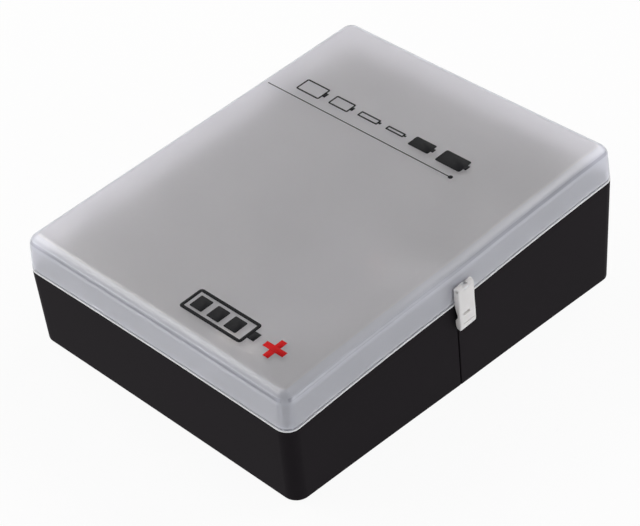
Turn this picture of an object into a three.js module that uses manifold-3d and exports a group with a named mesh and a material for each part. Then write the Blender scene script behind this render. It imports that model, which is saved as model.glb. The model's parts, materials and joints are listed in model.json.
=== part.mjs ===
// Battery storage case: a wedge-shaped tub, a frosted hinged lid, lift-out trays and a cell tester.
import * as THREE from 'three';
import { mergeVertices } from 'three/addons/utils/BufferGeometryUtils.js';
import Module from 'manifold-3d';

const wasm = await Module();
wasm.setup();

// All sizes are millimetres in the parting plane's frame: +X to the clip, +Y to the high end, z = 0 at the rim.
const caseWidth = 154.6;
const caseLength = 200;
const lowEndDepth = 39.2;
const rimTilt = THREE.MathUtils.degToRad(4.72);
const rimCornerRadius = 6.4;
const footCornerRadius = 5;

// Tub
const baseWall = 2.2;
const baseFloor = 2;
const baseDraft = 0.6;
const lipHeight = 1.2;

// Lid
const lidHeight = 17.74;
const lidWall = 1.8;
const lidTop = 1.8;
const lidDraft = 0.85;
const lidEdgeRadius = 5.7;
const lidRimEdge = 0.9;
const rebateHeight = 1.5;

// Clearances and shared allowances
const seamGap = 0.3;
const fitGap = 0.3;
const overrun = 6;
const weldTolerance = 0.0001;
const cornerSteps = 5;
const edgeSteps = 4;

// Cells, each size with the room that its bay gives it
const dCell = { row: 35, pitch: 35.5, seat: 46.3 };
const cCell = { row: 26.8, pitch: 27, seat: 35.5 };
const aaCell = { row: 15, pitch: 15.2, seat: 35.5 };
const aaaCell = { row: 11, pitch: 10.8, rows: 2, seat: 30 };
const blockCell = { thickness: 17.8, seat: 34 };
const blocksInRearTray = 2;
const coinBin = { depth: 8, pockets: 3, leastLength: 14 };

// Trays
const trayWall = 1.4;
const trayDrop = 2;
const trayGap = 0.6;
const legSize = 7;
const cellRibWidth = 1.2;
const largeRibReach = 7;
const smallRibReach = 2;
const slimRibReach = 1.2;
const countSlack = 0.001;

function toSolid(geometry) {
  const bare = geometry.index ? geometry.toNonIndexed() : geometry.clone();
  bare.deleteAttribute('normal');
  bare.deleteAttribute('uv');
  const merged = mergeVertices(bare, weldTolerance);
  const vertProperties = new Float32Array(merged.attributes.position.array);
  const triVerts = new Uint32Array(merged.index.array);
  return new wasm.Manifold(new wasm.Mesh({ numProp: 3, vertProperties, triVerts }));
}

function toGeometry(solid) {
  const { vertProperties, triVerts } = solid.getMesh();
  const shared = new THREE.BufferGeometry();
  shared.setAttribute('position', new THREE.BufferAttribute(vertProperties, 3));
  shared.setIndex(new THREE.BufferAttribute(triVerts, 1));
  const geometry = shared.toNonIndexed();
  geometry.computeVertexNormals();
  return geometry;
}

function block([x0, x1], [y0, y1], [z0, z1]) {
  const geometry = new THREE.BoxGeometry(x1 - x0, y1 - y0, z1 - z0);
  geometry.translate((x0 + x1) / 2, (y0 + y1) / 2, (z0 + z1) / 2);
  return toSolid(geometry);
}

// A round bar from one end's centre along an axis, 'x', 'y' or 'z'.
function bar(radius, [x, y, z], axis, length, sides = 12) {
  const geometry = new THREE.CylinderGeometry(radius, radius, length, sides);
  geometry.translate(0, length / 2, 0);
  if (axis === 'x') geometry.rotateZ(-Math.PI / 2);
  if (axis === 'z') geometry.rotateX(Math.PI / 2);
  geometry.translate(x, y, z);
  return toSolid(geometry);
}

// An outline of [x, z] points drawn out along Y.
function profileAlongY(points, [y0, y1]) {
  const shape = new THREE.Shape(points.map(([x, z]) => new THREE.Vector2(x, z)));
  const geometry = new THREE.ExtrudeGeometry(shape, { depth: y1 - y0, bevelEnabled: false });
  geometry.rotateX(Math.PI / 2);
  geometry.translate(0, y1, 0);
  return toSolid(geometry);
}

// An outline of [x, y] points, its corners rounded, drawn up along Z.
function plate(points, radius, [z0, z1]) {
  const shape = new THREE.Shape();
  points.forEach(([x, y], i) => {
    const corner = new THREE.Vector2(x, y);
    const towards = (other) => new THREE.Vector2(...other).sub(corner).setLength(radius).add(corner);
    const before = towards(points.at(i - 1));
    const after = towards(points[(i + 1) % points.length]);
    if (i === 0) shape.moveTo(before.x, before.y);
    else shape.lineTo(before.x, before.y);
    shape.quadraticCurveTo(x, y, after.x, after.y);
  });
  const settings = { depth: z1 - z0, bevelEnabled: false, curveSegments: 3 };
  const geometry = new THREE.ExtrudeGeometry(shape, settings);
  geometry.translate(0, 0, z0);
  return toSolid(geometry);
}

// A rounded rectangle as a ring of points, whose height may follow a slope.
function ring(width, length, radius, heightAt) {
  const corners = [[1, -1], [1, 1], [-1, 1], [-1, -1]];
  return corners.flatMap(([sideX, sideY], corner) => {
    const points = [];
    for (let step = 0; step <= cornerSteps; step++) {
      const angle = (corner - 1 + step / cornerSteps) * Math.PI / 2;
      const x = sideX * (width / 2 - radius) + radius * Math.cos(angle);
      const y = sideY * (length / 2 - radius) + radius * Math.sin(angle);
      points.push(new THREE.Vector3(x, y, heightAt(y)));
    }
    return points;
  });
}

// A closed skin over rings of equal count, lowest first, with a flat cap on both ends.
function loft(rings) {
  const count = rings[0].length;
  const index = [];
  for (let level = 0; level + 1 < rings.length; level++) {
    for (let i = 0; i < count; i++) {
      const low = level * count + i;
      const lowNext = level * count + (i + 1) % count;
      index.push(low, lowNext, lowNext + count, low, lowNext + count, low + count);
    }
  }
  const top = (rings.length - 1) * count;
  for (let i = 1; i + 1 < count; i++) {
    index.push(0, i + 1, i, top, top + i, top + i + 1);
  }
  const geometry = new THREE.BufferGeometry();
  const positions = rings.flat().flatMap((point) => point.toArray());
  geometry.setAttribute('position', new THREE.Float32BufferAttribute(positions, 3));
  geometry.setIndex(index);
  return toSolid(geometry);
}

const join = (solids) => solids.reduce((whole, solid) => whole.add(solid));

function finish(name, solid, color, roughness, metalness = 0, opacity = 1) {
  const material = new THREE.MeshStandardMaterial({ color, roughness, metalness });
  material.transparent = opacity < 1;
  material.opacity = opacity;
  const mesh = new THREE.Mesh(toGeometry(solid), material);
  mesh.name = name;
  return mesh;
}

const blackPlastic = (name, solid) => finish(name, solid, '#222023', 0.55);
const greyPlastic = (name, solid) => finish(name, solid, '#3a3b3f', 0.6);
const frostedPlastic = (name, solid) => finish(name, solid, '#c4c6d0', 0.45, 0, 0.55);
const steel = (name, solid) => finish(name, solid, '#b9babd', 0.3, 1);

// The underside is one flat plane that slopes in the rim's frame.
const undersideAt = (y) => -lowEndDepth - Math.tan(rimTilt) * (y + caseLength / 2);
const level = (z) => () => z;

const rimFrame = new THREE.Group();
rimFrame.rotation.x = rimTilt;

// Hinges: two knuckles on the tub and one on the lid share each steel pin.
const hinge = { radius: 2, pinRadius: 0.9, room: 0.2, offset: 2.4, spread: 58, lidKnuckle: 8, baseKnuckle: 5 };
const hingeBore = hinge.pinRadius + hinge.room;
const hingeX = -caseWidth / 2 - hinge.offset;
const hingeHalfSpan = hinge.lidKnuckle / 2 + fitGap + hinge.baseKnuckle;
const hingeCentres = [-hinge.spread, hinge.spread];

function knuckle([y0, y1], [z0, z1]) {
  const eye = bar(hinge.radius, [hingeX, y0, 0], 'y', y1 - y0);
  const web = block([hingeX, -caseWidth / 2 + baseWall / 2], [y0, y1], [z0, z1]);
  return eye.add(web);
}

function hingeBores() {
  return join(hingeCentres.map((y) => {
    const start = [hingeX, y - hingeHalfSpan - overrun, 0];
    return bar(hingeBore, start, 'y', 2 * (hingeHalfSpan + overrun));
  }));
}

function baseKnuckles() {
  return join(hingeCentres.flatMap((y) => [-1, 1].map((side) => {
    const near = y + side * (hinge.lidKnuckle / 2 + fitGap);
    const far = y + side * hingeHalfSpan;
    return knuckle([Math.min(near, far), Math.max(near, far)], [-hinge.radius, -seamGap]);
  })));
}

function lidKnuckles() {
  return join(hingeCentres.map((y) => {
    const span = [y - hinge.lidKnuckle / 2, y + hinge.lidKnuckle / 2];
    return knuckle(span, [seamGap, hinge.radius]);
  }));
}

// Clip: an eye on a pin near its top, a slim neck round the tub's bead, and a hook under the bead.
const clip = {
  width: 9.7, pivotOut: 1.7, pivotUp: 7.8, eye: 1.4, backGap: 0.3, neckOut: 1.75, neckTop: -4.4, neckFoot: -5.9,
  hookOut: 1.3, hookTop: -7, hookFoot: -10.2, tipIn: 1.9, tipOut: 2.7, tip: -12.5, chin: -11, pinRadius: 0.4,
  pinRoom: 0.1, lug: 2.8, lugEye: 0.9, lugNeck: 0.9, lugRoom: 0.3, swing: 70,
};
const bead = { reach: 1.1, top: -2.9, crownTop: -4.2, crownFoot: -5.6, foot: -6.4, width: 9 };
const grip = { width: 6.4, top: -4, foot: -6.4, depth: 0.4 };
const clipFront = clip.pivotOut + clip.eye;

function clipPinBore(x) {
  return bar(clip.pinRadius + clip.pinRoom, [x, -clip.width, clip.pivotUp], 'y', 2 * clip.width);
}

// Tub with its lip, hinge knuckles and the bead that the clip snaps over.
function makeBase() {
  const rimRadius = rimCornerRadius - baseWall;
  const insideWidth = caseWidth - 2 * baseWall;
  const insideLength = caseLength - 2 * baseWall;
  const lipSetback = lidRimEdge + seamGap;
  const outside = loft([
    ring(caseWidth - 2 * baseDraft, caseLength - 2 * baseDraft, footCornerRadius, undersideAt),
    ring(caseWidth, caseLength, rimCornerRadius, level(-seamGap / 2)),
  ]);
  const lip = loft([-lipHeight, lipHeight].map((z) => {
    const radius = rimCornerRadius - lipSetback;
    return ring(caseWidth - 2 * lipSetback, caseLength - 2 * lipSetback, radius, level(z));
  }));
  const floorAt = (y) => undersideAt(y) + baseFloor;
  const inside = loft([
    ring(insideWidth - 2 * baseDraft, insideLength - 2 * baseDraft, rimRadius, floorAt),
    ring(insideWidth, insideLength, rimRadius, level(0)),
    ring(insideWidth, insideLength, rimRadius, level(lipHeight + overrun)),
  ]);
  const wallX = caseWidth / 2;
  const catchBead = profileAlongY([
    [wallX - baseWall / 2, bead.top], [wallX, bead.top], [wallX + bead.reach, bead.crownTop],
    [wallX + bead.reach, bead.crownFoot], [wallX, bead.foot], [wallX - baseWall / 2, bead.foot],
  ], [-bead.width / 2, bead.width / 2]);
  return join([outside, lip, catchBead, baseKnuckles()]).subtract(inside).subtract(hingeBores());
}

// Lid: one frosted moulding with a rebate over the tub's lip and a lug for the clip.
function lidSkin(thickness, topThickness, lowest) {
  const bend = lidEdgeRadius - thickness;
  const shoulder = lidHeight - lidEdgeRadius;
  const rings = [ring(
    caseWidth - 2 * thickness, caseLength - 2 * thickness, rimCornerRadius - thickness, level(lowest),
  )];
  for (let step = 0; step <= edgeSteps; step++) {
    const angle = step / edgeSteps * Math.PI / 2;
    const turnedIn = bend * (1 - Math.cos(angle));
    const inset = lidDraft + thickness + turnedIn;
    const radius = rimCornerRadius - thickness - turnedIn;
    const height = shoulder + (lidEdgeRadius - topThickness) * Math.sin(angle);
    rings.push(ring(caseWidth - 2 * inset, caseLength - 2 * inset, radius, level(height)));
  }
  return loft(rings);
}

function makeLid() {
  const rebate = loft([-overrun, rebateHeight].map((z) => {
    const radius = rimCornerRadius - lidRimEdge;
    return ring(caseWidth - 2 * lidRimEdge, caseLength - 2 * lidRimEdge, radius, level(z));
  }));
  const pivotX = caseWidth / 2 + clip.pivotOut;
  const lugSpan = [-clip.lug / 2, clip.lug / 2];
  const neckHeights = [clip.pivotUp - clip.lugNeck / 2, clip.pivotUp + clip.lugNeck / 2];
  const neck = block([caseWidth / 2 - lidWall, pivotX], lugSpan, neckHeights);
  const lug = bar(clip.lugEye, [pivotX, lugSpan[0], clip.pivotUp], 'y', clip.lug).add(neck);
  const shell = lidSkin(0, 0, seamGap / 2).subtract(lidSkin(lidWall, lidTop, -overrun)).subtract(rebate);
  return join([shell, lug, lidKnuckles()]).subtract(clipPinBore(pivotX)).subtract(hingeBores());
}

// The clip's own frame starts on the lid's wall at the parting plane.
function makeClip() {
  const span = [-clip.width / 2, clip.width / 2];
  const body = profileAlongY([
    [clip.pivotOut - clip.eye, clip.pivotUp], [clip.backGap, -seamGap], [clip.neckOut, clip.neckTop],
    [clip.neckOut, clip.neckFoot], [clip.hookOut, clip.hookTop], [clip.hookOut, clip.hookFoot],
    [clip.tipIn, clip.tip], [clip.tipOut, clip.tip], [clipFront, clip.chin], [clipFront, clip.pivotUp],
  ], span);
  const eye = bar(clip.eye, [clip.pivotOut, span[0], clip.pivotUp], 'y', clip.width, 24);
  const slotSpan = [-clip.lug / 2 - clip.lugRoom, clip.lug / 2 + clip.lugRoom];
  const slotStart = [clip.pivotOut, slotSpan[0], clip.pivotUp];
  const slotEye = bar(clip.lugEye + clip.pinRoom, slotStart, 'y', slotSpan[1] * 2);
  const slotMargin = 32;
  const slotAngles = [-slotMargin, clip.swing / 2, clip.swing + slotMargin];
  const slotFan = profileAlongY([[clip.pivotOut, clip.pivotUp], ...slotAngles.map((degrees) => {
    const angle = THREE.MathUtils.degToRad(degrees);
    const reach = clip.eye * 2;
    return [clip.pivotOut - reach * Math.cos(angle), clip.pivotUp + reach * Math.sin(angle)];
  }).reverse()], slotSpan);
  const gripSpan = [-grip.width / 2, grip.width / 2];
  const gripRecess = block([clipFront - grip.depth, clipFront + overrun], gripSpan, [grip.foot, grip.top]);
  return body.add(eye).subtract(join([slotEye, slotFan, clipPinBore(clip.pivotOut), gripRecess]));
}

// Room inside the tub, less the clearance that every tray keeps to it.
const trayHalfWidth = caseWidth / 2 - baseWall - baseDraft - fitGap;
const trayHalfLength = caseLength / 2 - baseWall - baseDraft - fitGap;
const deck = -trayDrop;
const trayFootAt = (y) => undersideAt(y) + baseFloor + fitGap;

function trayRoom() {
  const radius = rimCornerRadius - baseWall;
  return loft([trayFootAt, level(deck)].map((height) => {
    return ring(2 * trayHalfWidth, 2 * trayHalfLength, radius, height);
  }));
}

// A trough for one row of cells, with ribs on both long sides between as many cells as its length holds.
function trough(x, y, floor, pitch = x[1] - x[0], ribReach = 0) {
  const ribs = [];
  const places = Math.floor((x[1] - x[0]) / pitch + countSlack);
  for (let place = 1; place < places; place++) {
    const middle = x[0] + (x[1] - x[0]) * place / places;
    const ribX = [middle - cellRibWidth / 2, middle + cellRibWidth / 2];
    const ribZ = [floor - trayWall / 2, deck - cellRibWidth];
    ribs.push(block(ribX, [y[0] - trayWall / 2, y[0] + ribReach], ribZ));
    ribs.push(block(ribX, [y[1] - ribReach, y[1] + trayWall / 2], ribZ));
  }
  return { cut: block(x, y, [floor, deck + overrun]), ribs };
}

// Legs under a tray's corners, which the room's sloping floor then cuts to length.
function legs(x, y, under) {
  return x.flatMap((cornerX, i) => y.map((cornerY, j) => {
    const legX = i === 0 ? [cornerX, cornerX + legSize] : [cornerX - legSize, cornerX];
    const legY = j === 0 ? [cornerY, cornerY + legSize] : [cornerY - legSize, cornerY];
    return block(legX, legY, [undersideAt(caseLength / 2), under + trayWall / 2]);
  }));
}

function makeTray(shells, troughs, feet) {
  const cut = join([join(shells), ...feet]).subtract(join(troughs.map((row) => row.cut)));
  return join([cut, ...troughs.flatMap((row) => row.ribs)]).intersect(trayRoom());
}

// Rows from the high end: D cells, then C cells beside two 9 V blocks.
const dRow = [trayHalfLength - trayWall - dCell.row, trayHalfLength - trayWall];
const cRow = [dRow[0] - trayWall - cCell.row, dRow[0] - trayWall];
const rearEdge = cRow[0] - trayWall;
const wellX = [-trayHalfWidth + trayWall, trayHalfWidth - trayWall];
const cRowEnd = wellX[1] - blocksInRearTray * blockCell.thickness - trayWall;
const frontEdge = rearEdge - trayGap;

function makeRearTray() {
  const trayX = [-trayHalfWidth, trayHalfWidth];
  const shells = [
    block(trayX, [dRow[0] - trayWall, trayHalfLength], [-dCell.seat - trayWall, deck]),
    block(trayX, [rearEdge, dRow[0]], [-cCell.seat - trayWall, deck]),
  ];
  const troughs = [
    trough(wellX, dRow, -dCell.seat, dCell.pitch, largeRibReach),
    trough([wellX[0], cRowEnd], cRow, -cCell.seat, cCell.pitch, largeRibReach),
    trough([cRowEnd + trayWall, wellX[1]], cRow, -blockCell.seat),
  ];
  const feet = [
    ...legs(trayX, [dRow[0], trayHalfLength], -dCell.seat - trayWall),
    ...legs(trayX, [rearEdge, dRow[0]], -cCell.seat - trayWall),
  ];
  return makeTray(shells, troughs, feet);
}

// AA rows, AAA rows and a shallow coin bin on the hinge side, with as many cells as leave the cradle its room.
const leastCradleWidth = 62;
const aaRoom = 2 * (trayHalfWidth - trayWall) - trayGap - leastCradleWidth;
const aaPerRow = Math.floor(aaRoom / aaCell.pitch);
const sideX = [-trayHalfWidth, -trayHalfWidth + 2 * trayWall + aaPerRow * aaCell.pitch];
const sideWellX = [sideX[0] + trayWall, sideX[1] - trayWall];

function rowsFrom(start, width, count) {
  const rows = [];
  for (let row = 0; row < count; row++) {
    const top = start - row * (width + trayWall);
    rows.push([top - width, top]);
  }
  return rows;
}

const smallRowsRoom = aaaCell.rows * (aaaCell.row + trayWall) + coinBin.leastLength + trayWall;
const aaRowsRoom = frontEdge - trayWall + trayHalfLength - smallRowsRoom;
const aaRowCount = Math.floor(aaRowsRoom / (aaCell.row + trayWall));
const aaRows = rowsFrom(frontEdge - trayWall, aaCell.row, aaRowCount);
const aaaRows = rowsFrom(aaRows.at(-1)[0] - trayWall, aaaCell.row, aaaCell.rows);
const coinRow = [-trayHalfLength + trayWall, aaaRows.at(-1)[0] - trayWall];

function makeSideTray() {
  const aaEdge = aaRows.at(-1)[0] - trayWall;
  const aaaEdge = aaaRows.at(-1)[0] - trayWall;
  const coinSeat = deck - coinBin.depth;
  const shells = [
    block(sideX, [aaEdge, frontEdge], [-aaCell.seat - trayWall, deck]),
    block(sideX, [aaaEdge, aaEdge + trayWall], [-aaaCell.seat - trayWall, deck]),
    block(sideX, [-trayHalfLength, aaaEdge + trayWall], [coinSeat - trayWall, deck]),
  ];
  const coinPitch = (sideWellX[1] - sideWellX[0] + trayWall) / coinBin.pockets;
  const coinPockets = [];
  for (let pocket = 0; pocket < coinBin.pockets; pocket++) {
    const start = sideWellX[0] + pocket * coinPitch;
    coinPockets.push(trough([start, start + coinPitch - trayWall], coinRow, coinSeat));
  }
  const troughs = [
    ...aaRows.map((row) => trough(sideWellX, row, -aaCell.seat, aaCell.pitch, smallRibReach)),
    ...aaaRows.map((row) => trough(sideWellX, row, -aaaCell.seat, aaaCell.pitch, slimRibReach)),
    ...coinPockets,
  ];
  const feet = [
    ...legs(sideX, [aaEdge, frontEdge], -aaCell.seat - trayWall),
    ...legs(sideX, [-trayHalfLength, aaaEdge + trayWall], coinSeat - trayWall),
  ];
  return makeTray(shells, troughs, feet);
}

// Cradle on the clip side: a bay for the tester and a pocket for two 9 V blocks lying side by side.
const cradleX = [sideX[1] + trayGap, trayHalfWidth];
const cradleWellX = [cradleX[0] + trayWall, cradleX[1] - trayWall];
const pocketRow = [frontEdge - trayWall - blockCell.thickness, frontEdge - trayWall];
const bayY = [-trayHalfLength + trayWall, pocketRow[0] - trayWall];
const tester = {
  sideGap: 5.1, endGap: 2.6, headLength: 24, bodyWidth: 37, backDepth: 12, topDepth: 12, wall: 1.6, face: 2,
  corner: 3, seat: 22, room: 0.5,
};
const testerWidth = cradleWellX[1] - cradleWellX[0] - 2 * tester.sideGap;
const testerLength = bayY[1] - bayY[0] - 2 * tester.endGap;
const testerX = (cradleWellX[0] + cradleWellX[1]) / 2;
const testerY = (bayY[0] + bayY[1]) / 2;

function makeCradle() {
  const bayFloor = -tester.seat - fitGap;
  const locatorLength = 12;
  const shells = [
    block(cradleX, [bayY[0] - trayWall, pocketRow[0]], [bayFloor - trayWall, deck]),
    block(cradleX, [pocketRow[0] - trayWall, frontEdge], [-blockCell.seat - trayWall, deck]),
  ];
  const bay = trough(cradleWellX, bayY, bayFloor);
  const sides = [[-1, -1], [-1, 1], [1, 1]];
  const sideLocators = sides.map(([sideOfX, sideOfY]) => {
    const edge = testerX + sideOfX * (testerWidth / 2 + tester.room);
    const wallX = testerX + sideOfX * (cradleWellX[1] - testerX + trayWall / 2);
    const start = testerY + sideOfY * testerLength / 2;
    const end = start - sideOfY * locatorLength;
    return block([Math.min(edge, wallX), Math.max(edge, wallX)], [Math.min(start, end), Math.max(start, end)],
      [bayFloor - trayWall / 2, deck - cellRibWidth]);
  });
  const endLocators = [-1, 1].map((side) => {
    const edge = testerY + side * (testerLength / 2 + tester.room);
    const wallY = testerY + side * (bayY[1] - testerY + trayWall / 2);
    const middle = testerX - testerWidth / 2 + tester.bodyWidth / 2;
    return block([middle - locatorLength / 2, middle + locatorLength / 2],
      [Math.min(edge, wallY), Math.max(edge, wallY)], [bayFloor - trayWall / 2, deck - cellRibWidth]);
  });
  bay.ribs.push(...sideLocators, ...endLocators);
  const feet = [
    ...legs(cradleX, [-trayHalfLength, pocketRow[0]], bayFloor - trayWall),
    ...legs(cradleX, [pocketRow[0], frontEdge], -blockCell.seat - trayWall),
  ];
  return makeTray(shells, [bay, trough(cradleWellX, pocketRow, -blockCell.seat)], feet);
}

// Both ends of a span moved out, or in where the amount is negative.
function grown([low, high], by) {
  return [low - by, high + by];
}

// Tester: its own frame starts under the middle of its back.
const seam = tester.backDepth;
const testerTop = tester.backDepth + tester.topDepth;
const headY = testerLength / 2 - tester.headLength;
const bodyX = -testerWidth / 2 + tester.bodyWidth;

function testerOutline(inset) {
  const x0 = -testerWidth / 2 + inset;
  const x1 = testerWidth / 2 - inset;
  const y0 = -testerLength / 2 + inset;
  const y1 = testerLength / 2 - inset;
  const notchX = bodyX - inset;
  const notchY = headY + inset;
  return [[x0, y0], [notchX, y0], [notchX, notchY], [x1, notchY], [x1, y1], [x0, y1]];
}

// Sliding arm: it runs down the side of the body and clamps a cell against the head.
const arm = {
  restGap: 28, travel: 30, thickness: 8, sideGap: 0.3, low: 5, high: 22, edgeGap: 1, tongueIn: 6.4, tongue: 2.4,
  tongueLength: 6, thumbHeight: 3, thumbWidth: 10,
};
const armFace = headY - arm.restGap;
const armBack = armFace - arm.thickness;
const armX = [bodyX + arm.sideGap, testerWidth / 2 - arm.edgeGap];
const tongueY = [-1, 1].map((side) => (armFace + armBack) / 2 + side * arm.tongueLength / 2);
const tongueX = [bodyX - arm.tongueIn, armX[0]];

function tongueSlot() {
  return block([tongueX[0] - fitGap, bodyX + overrun / 2],
    [tongueY[0] - arm.travel - fitGap, tongueY[1] + fitGap],
    [seam - arm.tongue / 2 - fitGap, seam + arm.tongue / 2 + fitGap]);
}

// Contacts: bent strips whose tabs go into the head and the arm.
const contact = { sideMargin: 2.85, low: 7, high: 17, thick: 0.5, tab: 3, tabThick: 1, tabIn: 5, room: 0.3 };
const contactX = (armX[0] + armX[1]) / 2;

function contactTab(y, grow) {
  return block([contactX - contact.tab / 2 - grow, contactX + contact.tab / 2 + grow], y,
    [seam - contact.tabThick / 2 - grow, seam + contact.tabThick / 2 + grow]);
}

function contactPlate(y) {
  return block(grown(armX, -contact.sideMargin), y, [contact.low, contact.high]);
}

// Screws: four through the back into the top's bosses.
const screw = { shank: 1.1, head: 2.2, headHeight: 1.6, sink: 2, boss: 3.2, inset: 5.5, reach: 8 };
const screwPlaces = [
  [-testerWidth / 2 + screw.inset, -testerLength / 2 + screw.inset],
  [bodyX - screw.inset, -testerLength / 2 + screw.inset],
  [-testerWidth / 2 + screw.inset, testerLength / 2 - screw.inset],
  [testerWidth / 2 - screw.inset, testerLength / 2 - screw.inset],
];
const screwLength = tester.backDepth + screw.reach - screw.sink;

const bossesBetween = (z0, z1) => screwPlaces.map(([x, y]) => bar(screw.boss, [x, y, z0], 'z', z1 - z0));
const screwBores = (z0, z1) => screwPlaces.map(([x, y]) => bar(screw.shank + fitGap, [x, y, z0], 'z', z1 - z0));
const headSinks = () => screwPlaces.map(([x, y]) => {
  return bar(screw.head + fitGap, [x, y, -overrun], 'z', overrun + screw.sink);
});

const board = { sideInset: 4, notchInset: 7, intoHead: 10, belowHead: 33, z: 5, thick: 1.6, post: 2.4, inset: 4 };
const boardX = [-testerWidth / 2 + board.sideInset, bodyX - board.notchInset];
const boardY = [headY - board.belowHead, headY + board.intoHead];
const movement = {
  halfWidth: 14, length: 16, headInset: 3.4, top: 18, axle: 1, axleRoom: 0.3, axleDepth: 3, axleInset: 3,
};
const movementX = [-movement.halfWidth, movement.halfWidth];
const movementY = [headY + movement.headInset, headY + movement.headInset + movement.length];
const movementFoot = board.z + board.thick + fitGap;
const pivot = { x: (movementX[0] + movementX[1]) / 2, y: movementY[0] + movement.axleInset };
const dial = { sideMargin: 5, endMargin: 1, thick: 0.5 };
const dialX = grown(movementX, dial.sideMargin);
const dialY = grown(movementY, dial.endMargin);
const windowFrame = { rebate: 1.2, lens: 0.9, lap: 2 };
const blockContact = {
  spacing: 12.7, footInset: 14, flange: 4.4, stud: 2.9, height: 2.4, stem: 1.2, stemLength: 6,
};
const blockContactX = (bodyX - testerWidth / 2) / 2;
const blockContactY = -testerLength / 2 + blockContact.footInset;

function boardPosts() {
  const corners = boardX.flatMap((x, i) => boardY.map((y, j) => {
    return [x + (i === 0 ? board.inset : -board.inset), y + (j === 0 ? board.inset : -board.inset)];
  }));
  const postLength = board.z - fitGap - tester.wall / 2;
  return corners.map(([x, y]) => bar(board.post, [x, y, tester.wall / 2], 'z', postLength));
}

// A post in the back holds the spring's fixed end.
const spring = { radius: 1.9, wire: 0.35, turns: 9, steps: 8, sides: 5, postRadius: 1.2, postInset: 3.6 };
const springX = tongueX[0] + spring.radius;
const springStart = tongueY[1] + fitGap;
const springEnd = headY - spring.postInset;

function makeTesterBack() {
  const shell = plate(testerOutline(0), tester.corner, [0, seam - seamGap / 2]);
  const hollow = plate(testerOutline(tester.wall), tester.corner - tester.wall / 2, [tester.wall, seam + overrun]);
  const postStart = [springX, springEnd + fitGap + spring.postRadius, tester.wall / 2];
  const springPost = bar(spring.postRadius, postStart, 'z', seam + spring.radius - tester.wall / 2);
  const inner = [...bossesBetween(tester.wall / 2, seam - seamGap / 2), ...boardPosts(), springPost];
  const cuts = [...screwBores(-overrun, seam + overrun), ...headSinks(), tongueSlot(),
    contactTab([headY - overrun, headY + contact.tabIn + fitGap], contact.room)];
  return join([shell.subtract(hollow), ...inner]).subtract(join(cuts));
}

function makeTesterTop() {
  const under = testerTop - tester.face;
  const shell = plate(testerOutline(0), tester.corner, [seam + seamGap / 2, testerTop]);
  const hollow = plate(testerOutline(tester.wall), tester.corner - tester.wall / 2, [seam - overrun, under]);
  const sight = block(grown(dialX, -windowFrame.lap), grown(dialY, -windowFrame.lap),
    [under - overrun, testerTop + overrun]);
  const rebate = block(dialX, dialY, [testerTop - windowFrame.rebate, testerTop + overrun]);
  const stems = [-1, 1].map((side) => bar(blockContact.stem + fitGap,
    [blockContactX + side * blockContact.spacing / 2, blockContactY, under - overrun], 'z', 2 * overrun));
  const cuts = [sight, rebate, ...stems, ...screwBores(seam - overrun, seam + screw.reach + fitGap), tongueSlot(),
    contactTab([headY - overrun, headY + contact.tabIn + fitGap], contact.room)];
  const bosses = bossesBetween(seam + seamGap / 2, under + tester.face / 2);
  return join([shell.subtract(hollow), ...bosses]).subtract(join(cuts));
}

function makeArm() {
  const body = block(armX, [armBack, armFace], [arm.low, arm.high]);
  const tongue = block([tongueX[0], tongueX[1] + arm.edgeGap], tongueY,
    [seam - arm.tongue / 2, seam + arm.tongue / 2]);
  const thumb = profileAlongY([
    [contactX - arm.thumbWidth / 2, arm.high - arm.edgeGap],
    [contactX + arm.thumbWidth / 2, arm.high - arm.edgeGap],
    [contactX + arm.thumbWidth / 3, arm.high + arm.thumbHeight],
    [contactX - arm.thumbWidth / 3, arm.high + arm.thumbHeight],
  ], grown([armBack, armFace], -arm.thickness / 4));
  const tabSlot = contactTab([armFace - contact.tabIn - fitGap, armFace + overrun], contact.room);
  return join([body, tongue, thumb]).subtract(tabSlot);
}

// The arm's tension spring is one unbroken wire wound as a helix.
class Helix extends THREE.Curve {
  getPoint(t, target = new THREE.Vector3()) {
    const angle = 2 * Math.PI * spring.turns * t;
    return target.set(
      springX + spring.radius * Math.cos(angle),
      springStart + spring.wire + (springEnd - springStart - 2 * spring.wire) * t,
      seam + spring.radius * Math.sin(angle),
    );
  }
}

function makeSpring() {
  const section = new THREE.Shape();
  for (let side = 0; side < spring.sides; side++) {
    const angle = 2 * Math.PI * side / spring.sides;
    const corner = [spring.wire * Math.cos(angle), spring.wire * Math.sin(angle)];
    if (side === 0) section.moveTo(...corner);
    else section.lineTo(...corner);
  }
  const steps = spring.turns * spring.steps;
  return toSolid(new THREE.ExtrudeGeometry(section, { steps, extrudePath: new Helix(), bevelEnabled: false }));
}

function makeDial() {
  const z = [movement.top + fitGap, movement.top + fitGap + dial.thick];
  const card = block(grown(dialX, -fitGap), grown(dialY, -fitGap), z);
  const holeStart = [pivot.x, pivot.y, z[0] - overrun];
  return card.subtract(bar(movement.axle + 2 * movement.axleRoom, holeStart, 'z', 2 * overrun));
}

function makeMovement() {
  const body = block(movementX, movementY, [movementFoot, movement.top]);
  const boreStart = [pivot.x, pivot.y, movement.top - movement.axleDepth];
  const bore = bar(movement.axle + movement.axleRoom, boreStart, 'z', movement.axleDepth + overrun);
  return body.subtract(bore);
}

const needle = { length: 11, width: 0.9, thick: 0.4, lift: 0.6, swing: 80 };

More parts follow.
